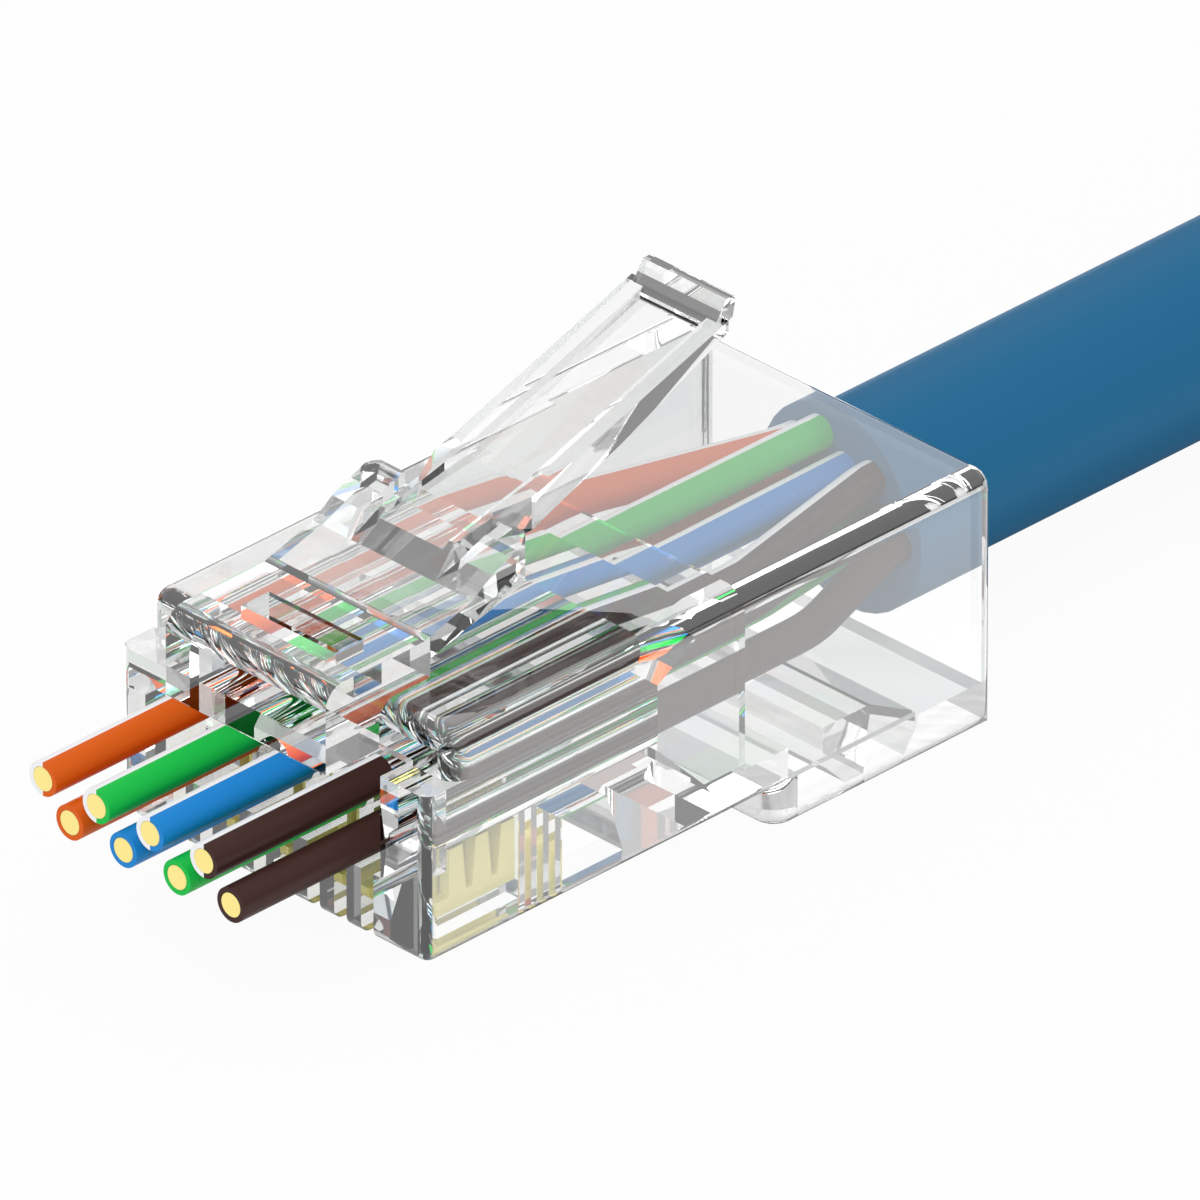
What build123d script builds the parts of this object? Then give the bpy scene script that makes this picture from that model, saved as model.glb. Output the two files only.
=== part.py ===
"""Eight-way modular plug with pass-through conductors, latch up, before it is crimped."""

import os
from math import radians, tan

from build123d import *

# Frame: X across the plug, Y from the nose to the cable, Z up towards the latch. The origin is the
# middle of the comb's front face, on the contact side. All sizes are in millimetres.

# Body
body_width = 11.68
body_length = 21.5
body_height = 6.6
nose_height = 5.19
shoulder_setback = 1.0
shoulder_round = 0.6
edge_round = 0.36
side_wall = 1.0
roof = 0.75
heel_length = 8.4
heel_drop = 1.3
heel_floor = 1.1
heel_corner_round = 0.75

# Conductor rows and their channels
pitch = 1.02
upper_row = 4.05
lower_row = 3.12
insulation_radius = 0.515
conductor_radius = 0.355
conductor_clearance = 0.01
channel_clearance = 0.035
channel_end = 9.35

# Mouth over the comb
mouth_depth = 1.5
mouth_floor = 2.05
post_width = 1.76

# Funnel from the channels to the cable bay
funnel_end = 12.45
funnel_side_wall = 1.5
funnel_floor = 0.8
funnel_roof = 5.6
funnel_roof_run = 1.75
heel_wall = 1.0

# Contacts and their slots
slot_width = 0.47
slot_length = 4.32
contact_thickness = 0.35
contact_front = 0.6
contact_rear = 4.25
contact_bottom = 0.6
contact_bar = 0.45
contact_tip_gap = 0.11
prong_pitch = 0.96
prong_block = 2.46
gap_root = 0.23
gap_mouth = 0.5
contact_round = 0.3

# Underside pocket behind the contacts
pocket_front = 5.8
pocket_length = 2.3
pocket_depth = 1.9
pocket_side_wall = 1.64
pocket_taper = 0.6

# Strain relief bar and its window in the heel
window_length = 4.05
window_rear_wall = 2.9
window_hinge_run = 0.55
window_hinge_depth = 0.35
window_side_wall = 1.19
bar_side_gap = 0.08
bar_front_gap = 1.15
bar_top_length = 1.8
bar_front_drop = 1.2
bar_front_slope = 0.75
bar_bottom_length = 0.68
bar_rise = 0.85
web_thickness = 0.3
web_gap = 0.03

# Latch base on the nose
base_half_width = 3.03
base_front = -1.0
base_top = 7.8
base_roll = 0.65
base_crease = 2.69
base_rear = 2.92
base_pocket_half_width = 1.79
base_pocket_front = 0.6
base_pocket_length = 1.05
base_pocket_depth = 1.1

# Latch lever, its side outlines as (y, z)
hinge_gap = 0.02
arm_bottom = 7.19
arm_slope = 15.6
arm_belly = ((4.19, 7.51), (6.67, 8.10))
ramp_foot = 4.52
ear_ramp_top = (5.25, 8.80)
ear_crest = (6.68, 9.38)
ear_rear = 6.8
ear_shoulder = 8.37
ear_inner = 1.84
ear_chamfer = 0.3
tail_ramp_top = (5.45, 9.05)
tail_crest = (8.55, 9.77)
tail_end = (15.39, 12.04)
tail_belly = ((8.70, 8.90), (11.36, 9.90), (15.05, 11.54))
tail_neck = 1.4
tail_half_width = 1.83
tail_foot = 1.6
tail_flare = (6.9, 7.95)
rail_width = 0.62
dish_floor = ((5.2, 8.86), (8.55, 9.46), (15.2, 11.66))
lip_half_width = 1.58
lip_outline = ((15.05, 11.54), (15.8, 11.91), (15.9, 12.4), (15.84, 12.55), (15.56, 12.55), (15.1, 11.84))

# Cable
wire_tip = -5.09
jacket_radius = 2.766
jacket_wall = 0.36
jacket_depth = 0.2
jacket_length = 34.0
cable_height = 3.03
splay_end_gap = 0.4
splay_bend = 4.0
# How far before the jacket each wire turns in, then its place in the jacket, across and up from the
# cable's axis, pin 1 first
bundle = (
    (6.3, -1.42, 1.22),
    (6.3, -1.75, -0.40),
    (6.3, -0.55, 1.79),
    (6.3, -0.70, -0.05),
    (6.3, 0.40, 1.00),
    (5.0, 0.80, -0.05),
    (6.3, 1.44, 1.14),
    (5.0, 1.86, -0.05),
)

# Worked out from the driving sizes
pins = len(bundle)
half_width = body_width / 2
channel_radius = insulation_radius + channel_clearance
bay_floor = heel_floor - heel_drop
bay_roof = body_height - roof
heel_front = body_length - heel_length
window_rear = body_length - window_rear_wall
window_front = window_rear - window_length
window_hinge = window_rear + window_hinge_run
bar_front = window_front + bar_front_gap
bar_bottom_front = bar_front + bar_front_slope
jacket_front = body_length - jacket_depth
jacket_end = jacket_front + jacket_length
pin_x = [(pin - (pins - 1) / 2) * pitch for pin in range(pins)]
pin_z = [lower_row if pin % 2 else upper_row for pin in range(pins)]
cut_over = 1.0


def edges_at(part, x=None, y=None, z=None, along=None):
    """Edges of a part whose middle lies at the given coordinates, along one axis if it is named."""
    edges = part.edges().filter_by(along) if along else part.edges()
    for value, axis in ((x, "X"), (y, "Y"), (z, "Z")):
        if value is not None:
            edges = edges.filter_by(lambda edge: abs(abs(getattr(edge.center(), axis)) - abs(value)) < 0.01)
    return edges


def arm_top(y):
    """Height of the latch arm's upper face between the base and the ramp."""
    return base_top + (y - base_crease) * tan(radians(arm_slope))


# Housing: rounded outer form
with BuildPart() as housing:
    with BuildSketch(Plane.YZ):
        Polygon(
            (0, 0),
            (heel_front, 0),
            (heel_front, -heel_drop),
            (body_length, -heel_drop),
            (body_length, body_height),
            (shoulder_setback, body_height),
            (shoulder_setback, nose_height),
            (0, nose_height),
            align=None,
        )
    extrude(amount=half_width, both=True)
    shoulder_edges = edges_at(housing.part, x=half_width, z=body_height, along=Axis.Y)
    shoulder_edges += edges_at(housing.part, y=shoulder_setback, z=body_height, along=Axis.X)
    shoulder_edges += edges_at(housing.part, x=half_width, y=shoulder_setback, along=Axis.Z)
    fillet(shoulder_edges, shoulder_round)
    fillet(edges_at(housing.part, x=half_width, y=heel_front, along=Axis.Z), heel_corner_round)
    outer_edges = edges_at(housing.part, x=half_width, y=0, along=Axis.Z)
    outer_edges += edges_at(housing.part, x=half_width, z=0, along=Axis.Y)
    outer_edges += edges_at(housing.part, x=half_width, z=heel_drop, along=Axis.Y)
    outer_edges += edges_at(housing.part, x=half_width, y=body_length, along=Axis.Z)
    outer_edges += edges_at(housing.part, y=0, z=0, along=Axis.X)
    outer_edges += edges_at(housing.part, y=heel_front, z=heel_drop, along=Axis.X)
    fillet(outer_edges, edge_round)

    # Latch base, which overhangs the nose
    with BuildSketch(Plane.YZ) as base_profile:
        Polygon(
            (base_front, nose_height),
            (base_front, base_top),
            (base_crease, base_top),
            (base_rear, arm_top(base_rear)),
            (base_rear, nose_height),
            align=None,
        )
        fillet(base_profile.vertices().sort_by(Axis.X)[:2].sort_by(Axis.Y)[-1], base_roll)
    extrude(amount=base_half_width, both=True)
    with BuildSketch(Plane.XY.offset(base_top)):
        with Locations((0, base_pocket_front + base_pocket_length / 2)):
            Rectangle(2 * base_pocket_half_width, base_pocket_length)
    extrude(amount=-base_pocket_depth, mode=Mode.SUBTRACT)

    # Mouth over the comb
    with BuildSketch(Plane.XZ.offset(cut_over)):
        with Locations((0, (mouth_floor + nose_height) / 2)):
            Rectangle(body_width - 2 * post_width, nose_height - mouth_floor)
    extrude(amount=-(cut_over + mouth_depth), mode=Mode.SUBTRACT)

    # Conductor channels in two staggered rows
    with BuildSketch(Plane.XZ.offset(-mouth_depth / 2)):
        with Locations(*zip(pin_x, pin_z)):
            Circle(channel_radius)
    extrude(amount=-channel_end, mode=Mode.SUBTRACT)

    # Contact slots, open to the front and the underside, up to the conductors
    for x, z in zip(pin_x, pin_z):
        with BuildSketch(Plane.XY.offset(-cut_over)):
            with Locations((x, (slot_length - cut_over) / 2)):
                Rectangle(slot_width, slot_length + cut_over)
        extrude(amount=z + cut_over, mode=Mode.SUBTRACT)

    # Funnel and cable bay
    with BuildSketch(Plane.YZ):
        ramp_run = lower_row - channel_radius - funnel_floor
        Polygon(
            (channel_end, lower_row - channel_radius),
            (channel_end, upper_row + channel_radius),
            (channel_end + funnel_roof_run, funnel_roof),
            (funnel_end + cut_over, funnel_roof),
            (funnel_end + cut_over, funnel_floor),
            (channel_end + ramp_run, funnel_floor),
            align=None,
        )
    extrude(amount=half_width - funnel_side_wall, both=True, mode=Mode.SUBTRACT)
    with BuildSketch(Plane.YZ):
        Polygon(
            (funnel_end, funnel_floor),
            (funnel_end, bay_roof),
            (body_length + cut_over, bay_roof),
            (body_length + cut_over, bay_floor),
            (heel_front + heel_wall, bay_floor),
            (heel_front + heel_wall, funnel_floor),
            align=None,
        )
    extrude(amount=half_width - side_wall, both=True, mode=Mode.SUBTRACT)

    # Window for the strain relief bar
    with BuildSketch(Plane.YZ):
        Polygon(
            (window_front, bay_floor + cut_over),
            (window_front, -heel_drop - cut_over),
            (window_rear, -heel_drop - cut_over),
            (window_rear, -heel_drop),
            (window_hinge, bay_floor - window_hinge_depth),
            (window_hinge, bay_floor + cut_over),
            align=None,
        )
    extrude(amount=half_width - window_side_wall, both=True, mode=Mode.SUBTRACT)

    # Underside pocket behind the contacts
    with BuildSketch(Plane.YZ):
        Polygon(
            (pocket_front, -cut_over),
            (pocket_front, pocket_depth),
            (pocket_front + pocket_length - pocket_taper, pocket_depth),
            (pocket_front + pocket_length, 0),
            (pocket_front + pocket_length, -cut_over),
            align=None,
        )
    extrude(amount=half_width - pocket_side_wall, both=True, mode=Mode.SUBTRACT)
housing.part.label = "housing"

# Latch tail: two rails beside a dished floor, narrow between the ears, with a cross lip at its end
with BuildPart() as latch_tail:
    with BuildSketch(Plane.YZ):
        Polygon(
            (ramp_foot, arm_top(ramp_foot)),
            tail_ramp_top,
            tail_crest,
            tail_end,
            (tail_end[0], tail_belly[-1][1] + (tail_end[0] - tail_belly[-1][0]) / 2),
            *reversed(tail_belly),
            arm_belly[1],
            arm_belly[0],
            align=None,
        )
    extrude(amount=tail_half_width, both=True)
    with BuildSketch():
        with BuildLine():
            Polyline(
                (0, arm_belly[0][0] - cut_over),
                (tail_foot, arm_belly[0][0] - cut_over),
                (tail_foot, ramp_foot),
                (tail_neck, tail_ramp_top[0]),
                (tail_neck, tail_flare[0]),
                (tail_half_width, tail_flare[1]),
                (tail_half_width, tail_end[0] + cut_over),
                (0, tail_end[0] + cut_over),
            )
            mirror(about=Plane.YZ)
        make_face()
    extrude(amount=2 * tail_end[1], mode=Mode.INTERSECT)
    with BuildSketch(Plane.YZ) as dish:
        Polygon(
            *dish_floor,
            (dish_floor[-1][0], tail_end[1] + cut_over),
            (dish_floor[0][0], tail_end[1] + cut_over),
            align=None,
        )
    extrude(amount=tail_half_width - rail_width, both=True, mode=Mode.SUBTRACT)
    with BuildSketch(Plane.YZ):
        Polygon(*lip_outline, align=None)
    extrude(amount=lip_half_width, both=True)

# Latch lever: sprung arm with a locking ear on each side of the tail
lever_front = base_rear + hinge_gap
with BuildPart() as latch_lever:
    with BuildSketch(Plane.YZ):
        Polygon(
            (lever_front, arm_bottom),
            *arm_belly,
            (ear_rear, ear_shoulder),
            (ear_rear, ear_crest[1]),
            ear_crest,
            ear_ramp_top,
            (ramp_foot, arm_top(ramp_foot)),
            (lever_front, arm_top(lever_front)),
            align=None,
        )
    extrude(amount=base_half_width, both=True)
    chamfer(edges_at(latch_lever.part, x=base_half_width, y=ear_rear, along=Axis.Z), ear_chamfer)
    with BuildSketch(Plane.XY.offset(ear_shoulder)):
        with BuildLine():
            Polyline(
                (0, ramp_foot),
                (tail_foot, ramp_foot),
                (ear_inner, ear_ramp_top[0]),
                (ear_inner, ear_rear + cut_over),
                (0, ear_rear + cut_over),
            )
            mirror(about=Plane.YZ)
        make_face()
    extrude(amount=ear_crest[1], mode=Mode.SUBTRACT)
    add(latch_tail.part)
latch_lever.part.label = "latch_lever"

# Strain relief bar: wedge bar carried by a thin web from the window's rear edge
bar_half_width = half_width - window_side_wall - bar_side_gap
bar_top = bay_floor + bar_rise
bar_rear = bar_front + bar_top_length
with BuildPart() as strain_relief_bar:
    with BuildSketch(Plane.YZ):
        Polygon(
            (bar_bottom_front, -heel_drop),
            (bar_bottom_front + bar_bottom_length, -heel_drop),
            (bar_rear, bar_top - web_thickness),
            (window_hinge - web_gap, bay_floor - web_thickness),
            (window_hinge - web_gap, bay_floor),
            (bar_rear, bar_top),
            (bar_front, bar_top),
            (bar_front, bar_top - bar_front_drop),
            align=None,
        )
    extrude(amount=bar_half_width, both=True)
strain_relief_bar.part.label = "strain_relief_bar"


def contact_blade(x, wire_z, name):
    """Three-pronged blade in its slot, tips just under the conductor's insulation."""
    tip = wire_z - insulation_radius - contact_tip_gap
    bar_top_z = contact_bottom + contact_bar
    block_middle = contact_rear - prong_block / 2
    with BuildPart() as blade:
        with BuildSketch(Plane.YZ.offset(x)) as outline:
            with Locations(((contact_front + contact_rear) / 2, (contact_bottom + bar_top_z) / 2)):
                Rectangle(contact_rear - contact_front, contact_bar)
            with Locations((block_middle, (contact_bottom + tip) / 2)):
                Rectangle(prong_block, tip - contact_bottom)
            for middle in (block_middle - prong_pitch / 2, block_middle + prong_pitch / 2):
                Polygon(
                    (middle - gap_root / 2, bar_top_z),
                    (middle + gap_root / 2, bar_top_z),
                    (middle + gap_mouth / 2, tip),
                    (middle - gap_mouth / 2, tip),
                    align=None,
                    mode=Mode.SUBTRACT,
                )
            nose_corner = outline.vertices().group_by(Axis.X)[0].sort_by(Axis.Y)[0]
            fillet(nose_corner, contact_round)
        extrude(amount=contact_thickness / 2, both=True)
    blade.part.label = name
    return blade


contacts = [
    contact_blade(x, z, f"contact_{pin}") for pin, (x, z) in enumerate(zip(pin_x, pin_z), start=1)
]


def wire_path(pin):
    """Centreline of one wire: straight through its channel, then drawn in to the jacket."""
    turn_in, across, up = bundle[pin]
    with BuildLine() as path:
        FilletPolyline(
            (pin_x[pin], wire_tip, pin_z[pin]),
            (pin_x[pin], jacket_front - turn_in, pin_z[pin]),
            (across, jacket_front - splay_end_gap, cable_height + up),
            (across, jacket_end, cable_height + up),
            radius=splay_bend,
        )
    return path


def wire(pin, inner, outer, name):
    """Round section, hollow where inner isn't zero, swept along one wire's centreline."""
    path = wire_path(pin)
    start = Plane(origin=(pin_x[pin], wire_tip, pin_z[pin]), x_dir=(1, 0, 0), z_dir=(0, 1, 0))
    with BuildPart() as strand:
        with BuildSketch(start):
            Circle(outer)
            if inner:
                Circle(inner, mode=Mode.SUBTRACT)
        sweep(path=path.wire())
    strand.part.label = name
    return strand


insulations = [
    wire(pin, conductor_radius + conductor_clearance, insulation_radius, f"insulation_{pin + 1}")
    for pin in range(pins)
]
conductors = [wire(pin, 0, conductor_radius, f"conductor_{pin + 1}") for pin in range(pins)]

# Cable jacket
with BuildPart() as cable_jacket:
    with BuildSketch(Plane(origin=(0, jacket_front, cable_height), x_dir=(1, 0, 0), z_dir=(0, 1, 0))):
        Circle(jacket_radius)
        Circle(jacket_radius - jacket_wall, mode=Mode.SUBTRACT)
    extrude(amount=jacket_length)
cable_jacket.part.label = "cable_jacket"

os.makedirs("parts", exist_ok=True)
for piece in (housing, latch_lever, strain_relief_bar, *contacts, *insulations, *conductors, cable_jacket):
    export_step(piece.part, f"parts/{piece.part.label}.step")
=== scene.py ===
"""Clear eight-way plug on a cut length of round cable, dressed and lit as in a product picture.

The moulded, stamped and drawn pieces keep the shapes of the frame and take their finishes here. The
cable's jacket is a curve along the cable's axis. Everything is in metres.
"""

from __future__ import annotations

import logging
from dataclasses import dataclass
from enum import Enum
from typing import Any

import bpy
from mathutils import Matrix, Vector

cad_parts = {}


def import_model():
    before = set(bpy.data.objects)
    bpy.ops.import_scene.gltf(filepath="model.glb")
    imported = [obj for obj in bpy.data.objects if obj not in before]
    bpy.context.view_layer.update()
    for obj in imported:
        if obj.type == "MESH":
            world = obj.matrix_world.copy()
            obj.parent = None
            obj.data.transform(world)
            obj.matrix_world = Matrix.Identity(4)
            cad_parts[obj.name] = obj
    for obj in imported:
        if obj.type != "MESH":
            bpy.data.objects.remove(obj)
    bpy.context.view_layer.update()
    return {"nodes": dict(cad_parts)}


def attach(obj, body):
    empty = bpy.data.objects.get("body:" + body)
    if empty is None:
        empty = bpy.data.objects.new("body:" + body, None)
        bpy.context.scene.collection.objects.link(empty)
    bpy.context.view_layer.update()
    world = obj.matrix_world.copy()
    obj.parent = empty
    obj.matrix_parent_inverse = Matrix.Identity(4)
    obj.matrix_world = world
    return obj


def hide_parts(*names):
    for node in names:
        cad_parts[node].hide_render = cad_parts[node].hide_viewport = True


MM = 0.001
# A Mix node has sockets of one name for each kind of data, so these are told apart by number
FLOAT_A, FLOAT_B = 2, 3
COLOUR_A, COLOUR_B, COLOUR_RESULT = 6, 7, 2

log = logging.getLogger("plug")

Point = tuple[float, float, float]
Colour = tuple[float, float, float, float]


def linear(colour: str) -> Colour:
    """Turns an sRGB hex colour to linear red, green, blue and alpha.

    Args:
        colour: Six hex digits, such as "d8581c".

    Returns:
        The linear colour with an alpha of 1.
    """
    shares = [int(colour[i : i + 2], 16) / 255 for i in (0, 2, 4)]
    # The sRGB curve is a straight line near black and a power above it
    red, green, blue = (s / 12.92 if s <= 0.04045 else ((s + 0.055) / 1.055) ** 2.4 for s in shares)
    return red, green, blue, 1.0


def grey(level: float) -> Colour:
    """Gives the neutral linear colour of one level, with an alpha of 1."""
    return level, level, level, 1.0


def add_node(
    tree: bpy.types.NodeTree,
    kind: str,
    settings: dict[str, Any] | None = None,
    inputs: dict[Any, Any] | None = None,
) -> bpy.types.Node:
    """Adds a node to a tree, with its settings, socket values and links.

    Args:
        tree: The material's or world's node tree.
        kind: The node's type, without the leading "ShaderNode".
        settings: Values of the node's own properties.
        inputs: For each input, by name or number, a value or the socket that feeds it.

    Returns:
        The new node.
    """
    node = tree.nodes.new("ShaderNode" + kind)
    for name, value in (settings or {}).items():
        setattr(node, name, value)
    for name, value in (inputs or {}).items():
        if isinstance(value, bpy.types.NodeSocket):
            tree.links.new(value, node.inputs[name])
        else:
            node.inputs[name].default_value = value
    return node


def blank_material(name: str) -> bpy.types.Material:
    """Makes a material with an empty node tree.

    Args:
        name: What the finish is called.

    Returns:
        The material, whose tree has no nodes yet.
    """
    material = bpy.data.materials.new(name)
    material.use_nodes = True
    material.node_tree.nodes.clear()
    return material


def dress(piece: bpy.types.Object, material: bpy.types.Material) -> None:
    """Gives every material slot of a piece one finish.

    Args:
        piece: The piece to dress, which gets a slot if it has none.
        material: Its finish.
    """
    if not piece.material_slots:
        piece.data.materials.append(material)
    for slot in piece.material_slots:
        slot.material = material
    log.info("%s wears %s", piece.name, material.name)


class PairColour(Enum):
    """Colour of a twisted pair's two insulations, as sRGB hex."""

    ORANGE = "d65c10"
    GREEN = "16ba48"
    BLUE = "1a82cc"
    BROWN = "3c2420"


@dataclass(frozen=True)
class ClearPolycarbonate:
    """Water-clear polycarbonate, injection moulded in a polished tool.

    It is colourless and glossy, and bends what is behind it strongly, so flat walls look empty and
    rounded edges dark. A coat of the same index stands for its polished skin: the real piece has no
    such layer, and it about doubles what the outer faces mirror.
    """

    name: str = "clear_polycarbonate_polished_moulding"
    ior: float = 1.586
    tint: str = "f6f7f6"
    gloss_low: float = 0.0
    gloss_high: float = 0.012
    flow_mm: float = 3.0
    skin: float = 1.0
    let_through: float = 0.94

    def material(self) -> bpy.types.Material:
        """Builds the finish.

        Returns:
            Glass-like material that lets lamplight through to the wires.
        """
        made = blank_material(self.name)
        tree = made.node_tree
        place = add_node(tree, "TexCoord")
        # Faint change of gloss along the melt's flow, a few millimetres across
        flow = add_node(
            tree,
            "TexNoise",
            inputs={"Vector": place.outputs["Object"], "Scale": 1 / (self.flow_mm * MM)},
        )
        gloss = add_node(
            tree,
            "MapRange",
            inputs={"Value": flow.outputs[0], "To Min": self.gloss_low, "To Max": self.gloss_high},
        )
        plastic = add_node(
            tree,
            "BsdfPrincipled",
            inputs={
                "Base Color": linear(self.tint),
                "Roughness": gloss.outputs[0],
                "IOR": self.ior,
                "Transmission Weight": 1.0,
                "Coat Weight": self.skin,
                "Coat Roughness": self.gloss_low,
                "Coat IOR": self.ior,
            },
        )
        # A glass-like wall would block lamplight and bounced light, so those rays pass straight on
        clear = add_node(tree, "BsdfTransparent", inputs={"Color": grey(self.let_through)})
        path = add_node(tree, "LightPath")
        lamp_or_bounce = add_node(
            tree,
            "Math",
            {"operation": "MAXIMUM"},
            {0: path.outputs["Is Shadow Ray"], 1: path.outputs["Is Diffuse Ray"]},
        )
        wall = add_node(
            tree,
            "MixShader",
            inputs={0: lamp_or_bounce.outputs[0], 1: plastic.outputs[0], 2: clear.outputs[0]},
        )
        add_node(tree, "OutputMaterial", inputs={"Surface": wall.outputs[0]})
        return made


@dataclass(frozen=True)
class DrawnMetal:
    """Soft yellow metal, drawn or rolled and left bright.

    Fine lines run along it, and a clean cut shows the same pale yellow.
    """

    name: str
    colour: str
    roughness: float
    metallic: float
    line_mm: float = 0.02
    line_stretch: float = 50.0
    line_height_mm: float = 0.0015
    line_strength: float = 0.4

    def material(self) -> bpy.types.Material:
        """Builds the finish.

        Returns:
            Metal with fine lines along Y.
        """
        made = blank_material(self.name)
        tree = made.node_tree
        place = add_node(tree, "TexCoord")
        # Die lines, drawn out along the length
        along = add_node(
            tree,
            "Mapping",
            inputs={"Vector": place.outputs["Object"], "Scale": (1.0, 1 / self.line_stretch, 1.0)},
        )
        lines = add_node(
            tree,
            "TexNoise",
            inputs={"Vector": along.outputs[0], "Scale": 1 / (self.line_mm * MM)},
        )
        bump = add_node(
            tree,
            "Bump",
            inputs={
                "Strength": self.line_strength,
                "Distance": self.line_height_mm * MM,
                "Height": lines.outputs[0],
            },
        )
        metal = add_node(
            tree,
            "BsdfPrincipled",
            inputs={
                "Base Color": linear(self.colour),
                "Metallic": self.metallic,
                "Roughness": self.roughness,
                "Normal": bump.outputs[0],
            },
        )
        add_node(tree, "OutputMaterial", inputs={"Surface": metal.outputs[0]})
        return made


@dataclass(frozen=True)
class StripeCentre:
    """Middle of a striped wire seen from above: straight along Y, then drawn in to the jacket."""

    turn_y: float
    end_y: float
    start_x: float
    end_x: float


@dataclass(frozen=True)
class ExtrudedPlastic:
    """Pigmented cable plastic, extruded: a satin skin with a faint grain.

    Where a stripe is given, the wire is white to the left of its middle and has the pair's colour to
    the right.
    """

    name: str
    colour: str
    roughness: float = 0.42
    ior: float = 1.51
    sheen: float = 0.12
    grain_mm: float = 0.12
    grain_height_mm: float = 0.0012
    grain_strength: float = 0.3
    white: str = "eeeef0"
    stripe: StripeCentre | None = None
    stripe_blur_mm: float = 0.008

    def skin_colour(
        self, tree: bpy.types.NodeTree, place: bpy.types.Node
    ) -> bpy.types.NodeSocket | Colour:
        """Adds the nodes that split a striped wire into a white and a coloured half.

        Args:
            tree: The material's node tree.
            place: The texture coordinate node.

        Returns:
            The split's colour socket, or the plain colour where there is no stripe.
        """
        if self.stripe is None:
            return linear(self.colour)
        axes = add_node(tree, "SeparateXYZ", inputs={"Vector": place.outputs["Object"]})
        centre = add_node(
            tree,
            "MapRange",
            inputs={
                "Value": axes.outputs["Y"],
                "From Min": self.stripe.turn_y,
                "From Max": self.stripe.end_y,
                "To Min": self.stripe.start_x,
                "To Max": self.stripe.end_x,
            },
        )
        across = add_node(
            tree, "Math", {"operation": "SUBTRACT"}, {0: axes.outputs["X"], 1: centre.outputs[0]}
        )
        share = add_node(
            tree,
            "MapRange",
            inputs={
                "Value": across.outputs[0],
                "From Min": -self.stripe_blur_mm * MM,
                "From Max": self.stripe_blur_mm * MM,
            },
        )
        halves = add_node(
            tree,
            "Mix",
            {"data_type": "RGBA"},
            {0: share.outputs[0], COLOUR_A: linear(self.white), COLOUR_B: linear(self.colour)},
        )
        return halves.outputs[COLOUR_RESULT]

    def material(self) -> bpy.types.Material:
        """Builds the finish.

        Returns:
            Satin plastic with fine grain.
        """
        made = blank_material(self.name)
        tree = made.node_tree
        place = add_node(tree, "TexCoord")
        grain = add_node(
            tree,
            "TexNoise",
            inputs={"Vector": place.outputs["Object"], "Scale": 1 / (self.grain_mm * MM)},
        )
        bump = add_node(
            tree,
            "Bump",
            inputs={
                "Strength": self.grain_strength,
                "Distance": self.grain_height_mm * MM,
                "Height": grain.outputs[0],
            },
        )
        skin = add_node(
            tree,
            "BsdfPrincipled",
            inputs={
                "Base Color": self.skin_colour(tree, place),
                "Roughness": self.roughness,
                "IOR": self.ior,
                "Specular IOR Level": self.sheen,
                "Normal": bump.outputs[0],
            },
        )
        add_node(tree, "OutputMaterial", inputs={"Surface": skin.outputs[0]})
        return made


@dataclass
class MouldedPlug:
    """Housing, latch lever and strain relief bar, all of one clear plastic."""

    finish: ClearPolycarbonate = ClearPolycarbonate()
    pieces: tuple[str, ...] = ("housing", "latch_lever", "strain_relief_bar")

    def dress(self, nodes: dict[str, bpy.types.Object]) -> None:
        """Gives the three mouldings their finish.

        Args:
            nodes: The frame's pieces by name.
        """
        plastic = self.finish.material()
        for name in self.pieces:
            dress(nodes[name], plastic)


@dataclass
class ContactRow:
    """Eight stamped contacts, gold plated all over."""

    count: int = 8
    finish: DrawnMetal = DrawnMetal(
        name="gold_plated_phosphor_bronze", colour="fff49c", roughness=0.4, metallic=0.25
    )

    def dress(self, nodes: dict[str, bpy.types.Object]) -> None:
        """Gives each contact its plating.

        Args:
            nodes: The frame's pieces by name.
        """
        plating = self.finish.material()
        for pin in range(1, self.count + 1):
            dress(nodes[f"contact_{pin}"], plating)


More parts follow.
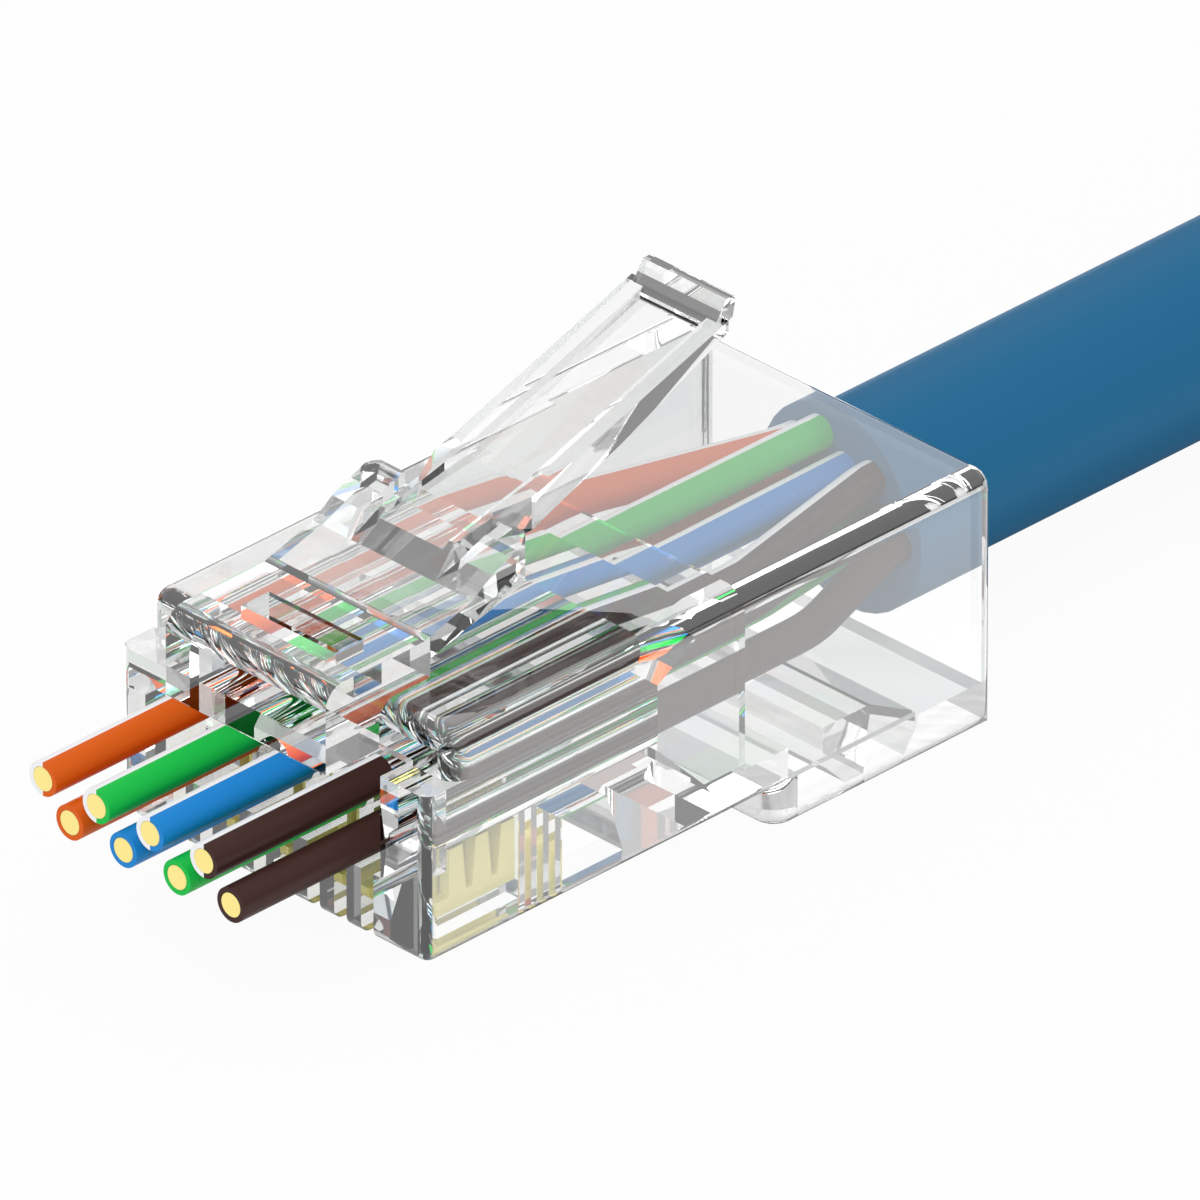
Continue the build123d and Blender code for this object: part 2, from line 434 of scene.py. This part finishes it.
@dataclass
class WireSet:
    """Eight insulated solid wires in two staggered rows, striped on the odd pins.

    The stripes follow the striped wires to their places in the jacket, which are given from left to
    right.
    """

    pitch: float = 1.02 * MM
    turn_y: float = 15.0 * MM
    end_y: float = 20.9 * MM
    striped_end_x: tuple[float, ...] = (-1.42 * MM, -0.55 * MM, 0.40 * MM, 1.44 * MM)
    colours: tuple[PairColour, ...] = (
        PairColour.ORANGE,
        PairColour.ORANGE,
        PairColour.GREEN,
        PairColour.BLUE,
        PairColour.BLUE,
        PairColour.GREEN,
        PairColour.BROWN,
        PairColour.BROWN,
    )
    core: DrawnMetal = DrawnMetal(
        name="bare_drawn_conductor", colour="fce88e", roughness=0.45, metallic=0.35
    )

    def insulation(self, pin: int) -> ExtrudedPlastic:
        """Works out the finish of one wire.

        Args:
            pin: The wire's number, from 1 on the left.

        Returns:
            Its coloured polyethylene, split where the pin is odd.
        """
        pair = self.colours[pin - 1]
        stripe = None
        if pin % 2:
            middle_pin = (len(self.colours) + 1) / 2
            stripe = StripeCentre(
                turn_y=self.turn_y,
                end_y=self.end_y,
                start_x=(pin - middle_pin) * self.pitch,
                end_x=self.striped_end_x[pin // 2],
            )
        kind = "striped" if stripe else "plain"
        return ExtrudedPlastic(
            name=f"polyethylene_insulation_{kind}_{pair.name.lower()}", colour=pair.value, stripe=stripe
        )

    def dress(self, nodes: dict[str, bpy.types.Object]) -> list[str]:
        """Gives each wire its insulation and core.

        Args:
            nodes: The frame's pieces by name.

        Returns:
            The names of all the wires' pieces.
        """
        core = self.core.material()
        names = []
        for pin in range(1, len(self.colours) + 1):
            dress(nodes[f"insulation_{pin}"], self.insulation(pin).material())
            dress(nodes[f"conductor_{pin}"], core)
            names += [f"insulation_{pin}", f"conductor_{pin}"]
        return names


@dataclass
class CableJacket:
    """Round jacket that holds the wires behind the plug, pulled straight.

    It starts just inside the rear opening, and leaves the plug at the body's rear face.
    """

    radius: float = 2.766 * MM
    height: float = 3.03 * MM
    front_y: float = 21.3 * MM
    exit_y: float = 21.5 * MM
    length: float = 34.0 * MM
    bared: float = 0.3 * MM
    stations: tuple[float, ...] = (0.0, 0.3, 0.7, 1.0)
    steps_around: int = 14
    steps_along: int = 4
    finish: ExtrudedPlastic = ExtrudedPlastic(
        name="blue_pvc_cable_jacket", colour="1d658e", roughness=0.5, grain_mm=0.4, grain_height_mm=0.004
    )

    def build(self, wires: list[str]) -> None:
        """Lays the jacket along the cable's axis and says how it rides.

        Args:
            wires: The names of the pieces inside it; not used.
        """
        line = bpy.data.curves.new("jacket_line", "CURVE")
        line.dimensions = "3D"
        line.bevel_depth = self.radius
        line.bevel_resolution = self.steps_around
        line.use_fill_caps = True
        line.resolution_u = self.steps_along
        spline = line.splines.new("NURBS")
        spline.points.add(len(self.stations) - 1)
        # At the cut end the wires stand a little out of the jacket
        for point, share in zip(spline.points, self.stations):
            point.co = (0.0, self.front_y + share * (self.length - self.bared), self.height, 1.0)
        spline.order_u = 3
        spline.use_endpoint_u = True
        jacket = bpy.data.objects.new("jacket_skin", line)
        bpy.context.scene.collection.objects.link(jacket)
        dress(jacket, self.finish.material())
        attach(jacket, "body")
        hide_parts("cable_jacket")
        log.info("%s is %.1f mm long", jacket.name, self.length / MM)


@dataclass(frozen=True)
class RayTraits:
    """Sockets that tell what a ray has met before it comes to the floor or the room.

    Attributes:
        camera: Whether it comes straight from the camera.
        mirrored: Whether gloss or clear plastic sent it.
        outer: Whether an outer face mirrored it.
        kept: Painted dimming, the share of the floor's and room's glow left after the ray's glossy
            reflections, which darkens the plastic's inner reflections.
    """

    camera: bpy.types.NodeSocket
    mirrored: bpy.types.NodeSocket
    outer: bpy.types.NodeSocket
    kept: bpy.types.NodeSocket


@dataclass
class Studio:
    """White floor, one soft lamp and a room that clear plastic can mirror.

    The camera sees white all round. What the plastic mirrors and bends is shaded, as it is by the
    dark flags and white cards round a clear product: the room gives it as light, and the floor's glow has it
    as painted shade and painted glow. Levels of light are shares of white, and heights in the room are the
    upward share of a ray's direction.
    """

    floor_z: float = -1.3 * MM
    floor_size: float = 0.9
    paper_grey: float = 0.8
    # Share of glow, against lit paper, in what the camera sees of the floor and the plastic mirrors
    glow_share: float = 0.94
    paper_centre: Point = (0.0, 12.0 * MM, 0.0)
    paper_near: float = 52.0 * MM
    paper_far: float = 90.0 * MM
    # Painted light and shade in the paper's glow, which only the outer faces mirror, and where it changes
    # along Y and across X
    painted_glow_in_front: float = 1.1
    painted_shade_under: float = 0.2
    painted_glow_beside: float = 2.0
    nose_y: tuple[float, float] = (-2.0 * MM, 2.0 * MM)
    side_x: tuple[float, float] = (5.9 * MM, 6.6 * MM)
    # Painted dimming: share of the floor's and room's glow that a ray still shows after each glossy
    # reflection, mostly those inside the plastic
    painted_inner_keep: float = 0.52
    room_grey: float = 0.8
    # Grey of the room's dark flags, and of the painted dark paper far from the plug in what the plastic
    # mirrors
    flag_and_painted_floor_grey: float = 0.06
    # Each wall band's height and grey, between the flags and the white ceiling
    wall_greys: tuple[tuple[float, float], ...] = ((0.2, 0.08), (0.35, 0.22))
    white_height: float = 0.9
    card_heights: tuple[float, float] = (0.1, 0.35)
    card_white: float = 1.36
    lamp_place: Point = (0.10, -0.20, 0.26)
    lamp_aim: Point = (0.0, 0.012, 0.003)
    lamp_size: float = 0.2
    lamp_power: float = 0.42

    def rays(self, tree: bpy.types.NodeTree) -> RayTraits:
        """Adds the nodes that tell what a ray has met on its way.

        Args:
            tree: The floor's or the world's node tree.

        Returns:
            The sockets that tell it.
        """
        path = add_node(tree, "LightPath")
        glossy, bent = path.outputs["Is Glossy Ray"], path.outputs["Is Transmission Ray"]
        mirrored = add_node(tree, "Math", {"operation": "MAXIMUM"}, {0: glossy, 1: bent})
        # A ray bent by the plastic counts as glossy too, so the bent ones are taken off
        outer = add_node(tree, "Math", {"operation": "SUBTRACT", "use_clamp": True}, {0: glossy, 1: bent})
        # Painted shade: the glow is dimmed for each glossy reflection, which darkens the plastic's inner
        # reflections
        kept = add_node(
            tree, "Math", {"operation": "POWER"}, {0: self.painted_inner_keep, 1: path.outputs["Glossy Depth"]}
        )
        return RayTraits(
            camera=path.outputs["Is Camera Ray"],
            mirrored=mirrored.outputs[0],
            outer=outer.outputs[0],
            kept=kept.outputs[0],
        )

    def floor_light(self, tree: bpy.types.NodeTree, rays: RayTraits) -> bpy.types.NodeSocket:
        """Adds the nodes that set how bright the paper looks to each kind of ray, with painted shade and
        glow.

        Args:
            tree: The floor's node tree.
            rays: The sockets that tell the rays apart.

        Returns:
            The strength of the paper's glow.
        """
        place = add_node(tree, "TexCoord")
        axes = add_node(tree, "SeparateXYZ", inputs={"Vector": place.outputs["Object"]})
        # The side faces mirror a painted glow on the paper beside the body, brighter than that before the
        # nose, and the lower edges mirror painted shade under it
        off_axis = add_node(tree, "Math", {"operation": "ABSOLUTE"}, {0: axes.outputs["X"]})
        shade = add_node(
            tree,
            "MapRange",
            {"interpolation_type": "SMOOTHSTEP"},
            {
                "Value": off_axis.outputs[0],
                "From Min": self.side_x[0],
                "From Max": self.side_x[1],
                "To Min": self.painted_shade_under,
                "To Max": self.painted_glow_beside,
            },
        )
        lit = add_node(
            tree,
            "MapRange",
            {"interpolation_type": "SMOOTHSTEP"},
            {
                "Value": axes.outputs["Y"],
                "From Min": self.nose_y[0],
                "From Max": self.nose_y[1],
                "To Min": self.painted_glow_in_front,
                "To Max": shade.outputs[0],
            },
        )
        bright = add_node(
            tree,
            "Mix",
            {"data_type": "FLOAT"},
            {0: rays.outer, FLOAT_A: rays.kept, FLOAT_B: lit.outputs[0]},
        )
        # In what the plastic mirrors and bends, the paper's glow is white near the plug and painted dark
        # grey further off, as dark flags would look
        away = add_node(
            tree, "VectorMath", {"operation": "DISTANCE"}, {0: place.outputs["Object"], 1: self.paper_centre}
        )
        spread = add_node(
            tree,
            "MapRange",
            {"interpolation_type": "SMOOTHSTEP"},
            {
                "Value": away.outputs["Value"],
                "From Min": self.paper_near,
                "From Max": self.paper_far,
                "To Min": bright.outputs[0],
                "To Max": self.flag_and_painted_floor_grey,
            },
        )
        strength = add_node(
            tree,
            "Mix",
            {"data_type": "FLOAT"},
            {0: rays.mirrored, FLOAT_A: 1.0, FLOAT_B: spread.outputs[0]},
        )
        return strength.outputs[0]

    def floor(self) -> None:
        """Lays the floor that the plug stands on."""
        bpy.ops.object.select_all(action="DESELECT")
        bpy.ops.mesh.primitive_plane_add(size=self.floor_size, location=(0.0, 0.0, self.floor_z))
        floor = bpy.context.object
        floor.name = "studio_floor"
        material = blank_material("white_paper_floor")
        tree = material.node_tree
        rays = self.rays(tree)
        seen = add_node(tree, "Math", {"operation": "MAXIMUM"}, {0: rays.camera, 1: rays.mirrored})
        # The rest is lit paper, which keeps the plug's shadow
        share = add_node(tree, "Math", {"operation": "MULTIPLY"}, {0: seen.outputs[0], 1: self.glow_share})
        paper = add_node(tree, "BsdfDiffuse", inputs={"Color": grey(self.paper_grey)})
        glow = add_node(
            tree, "Emission", inputs={"Color": grey(1.0), "Strength": self.floor_light(tree, rays)}
        )
        both = add_node(
            tree, "MixShader", inputs={0: share.outputs[0], 1: paper.outputs[0], 2: glow.outputs[0]}
        )
        add_node(tree, "OutputMaterial", inputs={"Surface": both.outputs[0]})
        dress(floor, material)

    def room(self) -> None:
        """Fills the world with white for the camera and with grey walls for the plastic."""
        world = bpy.data.worlds.new("studio_room")
        bpy.context.scene.world = world
        world.use_nodes = True
        tree = world.node_tree
        tree.nodes.clear()
        rays = self.rays(tree)
        place = add_node(tree, "TexCoord")
        axes = add_node(tree, "SeparateXYZ", inputs={"Vector": place.outputs["Generated"]})
        walls = add_node(tree, "ValToRGB", inputs={0: axes.outputs["Z"]})
        ramp = walls.color_ramp
        ramp.elements[0].position = 0.0
        ramp.elements[0].color = grey(self.flag_and_painted_floor_grey)
        ramp.elements[1].position = self.white_height
        ramp.elements[1].color = grey(1.0)
        for height, level in self.wall_greys:
            ramp.elements.new(height).color = grey(level)
        dimmed = add_node(
            tree, "VectorMath", {"operation": "SCALE"}, {0: walls.outputs[0], "Scale": rays.kept}
        )
        # Bright card above the horizon, which only the outer faces mirror
        card = add_node(
            tree,
            "MapRange",
            {"interpolation_type": "SMOOTHSTEP"},
            {
                "Value": axes.outputs["Z"],
                "From Min": self.card_heights[0],
                "From Max": self.card_heights[1],
                "To Min": self.flag_and_painted_floor_grey,
                "To Max": self.card_white,
            },
        )
        in_plastic = add_node(
            tree,
            "Mix",
            {"data_type": "RGBA"},
            {0: rays.outer, COLOUR_A: dimmed.outputs[0], COLOUR_B: card.outputs[0]},
        )
        lighting = add_node(
            tree,
            "Mix",
            {"data_type": "RGBA"},
            {0: rays.mirrored, COLOUR_A: grey(self.room_grey), COLOUR_B: in_plastic.outputs[COLOUR_RESULT]},
        )
        seen = add_node(
            tree,
            "Mix",
            {"data_type": "RGBA"},
            {0: rays.camera, COLOUR_A: lighting.outputs[COLOUR_RESULT], COLOUR_B: grey(1.0)},
        )
        light = add_node(tree, "Background", inputs={"Color": seen.outputs[COLOUR_RESULT], "Strength": 1.0})
        add_node(tree, "OutputWorld", inputs={"Surface": light.outputs[0]})

    def lamp(self) -> None:
        """Hangs the square soft lamp, which nothing mirrors."""
        data = bpy.data.lights.new("key_lamp", "AREA")
        data.size = self.lamp_size
        data.energy = self.lamp_power
        lamp = bpy.data.objects.new("key_lamp", data)
        lamp.location = self.lamp_place
        towards = Vector(self.lamp_aim) - Vector(self.lamp_place)
        lamp.rotation_euler = towards.to_track_quat("-Z", "Y").to_euler()
        bpy.context.scene.collection.objects.link(lamp)
        lamp.visible_glossy = False
        lamp.visible_transmission = False
        log.info("%s gives %.2f W", lamp.name, data.energy)

    def build(self) -> None:
        """Sets up the floor, the room and the lamp."""
        self.floor()
        self.room()
        self.lamp()


@dataclass
class ProductCamera:
    """Long lens from the front right, above, as far off as a small product needs.

    The way back to the camera is 45 degrees to the right of the plug's nose and 30 degrees up.
    """

    target: Point = (0.0, 12.35 * MM, 3.90 * MM)
    back: Point = (0.6124, -0.6124, 0.5)
    distance: float = 1.075
    lens: float = 1200.0
    sensor: float = 36.0
    clip: tuple[float, float] = (0.01, 10.0)

    def build(self) -> None:
        """Puts the camera in the scene."""
        data = bpy.data.cameras.new("product_camera")
        data.sensor_width = self.sensor
        data.lens = self.lens
        data.clip_start, data.clip_end = self.clip
        camera = bpy.data.objects.new("product_camera", data)
        camera.location = Vector(self.target) + self.distance * Vector(self.back)
        camera.rotation_euler = (-Vector(self.back)).to_track_quat("-Z", "Y").to_euler()
        bpy.context.scene.collection.objects.link(camera)
        bpy.context.scene.camera = camera


def main() -> None:
    """Loads the frame, dresses the plug, and sets up the studio and the camera."""
    logging.basicConfig(level=logging.INFO, format="%(name)s: %(message)s")
    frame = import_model()
    nodes = frame["nodes"]
    bpy.context.scene.view_settings.view_transform = "Standard"
    ProductCamera().build()
    wires = WireSet().dress(nodes)
    CableJacket().build(wires)
    MouldedPlug().dress(nodes)
    ContactRow().dress(nodes)
    Studio().build()


if __name__ == "__main__":
    main()
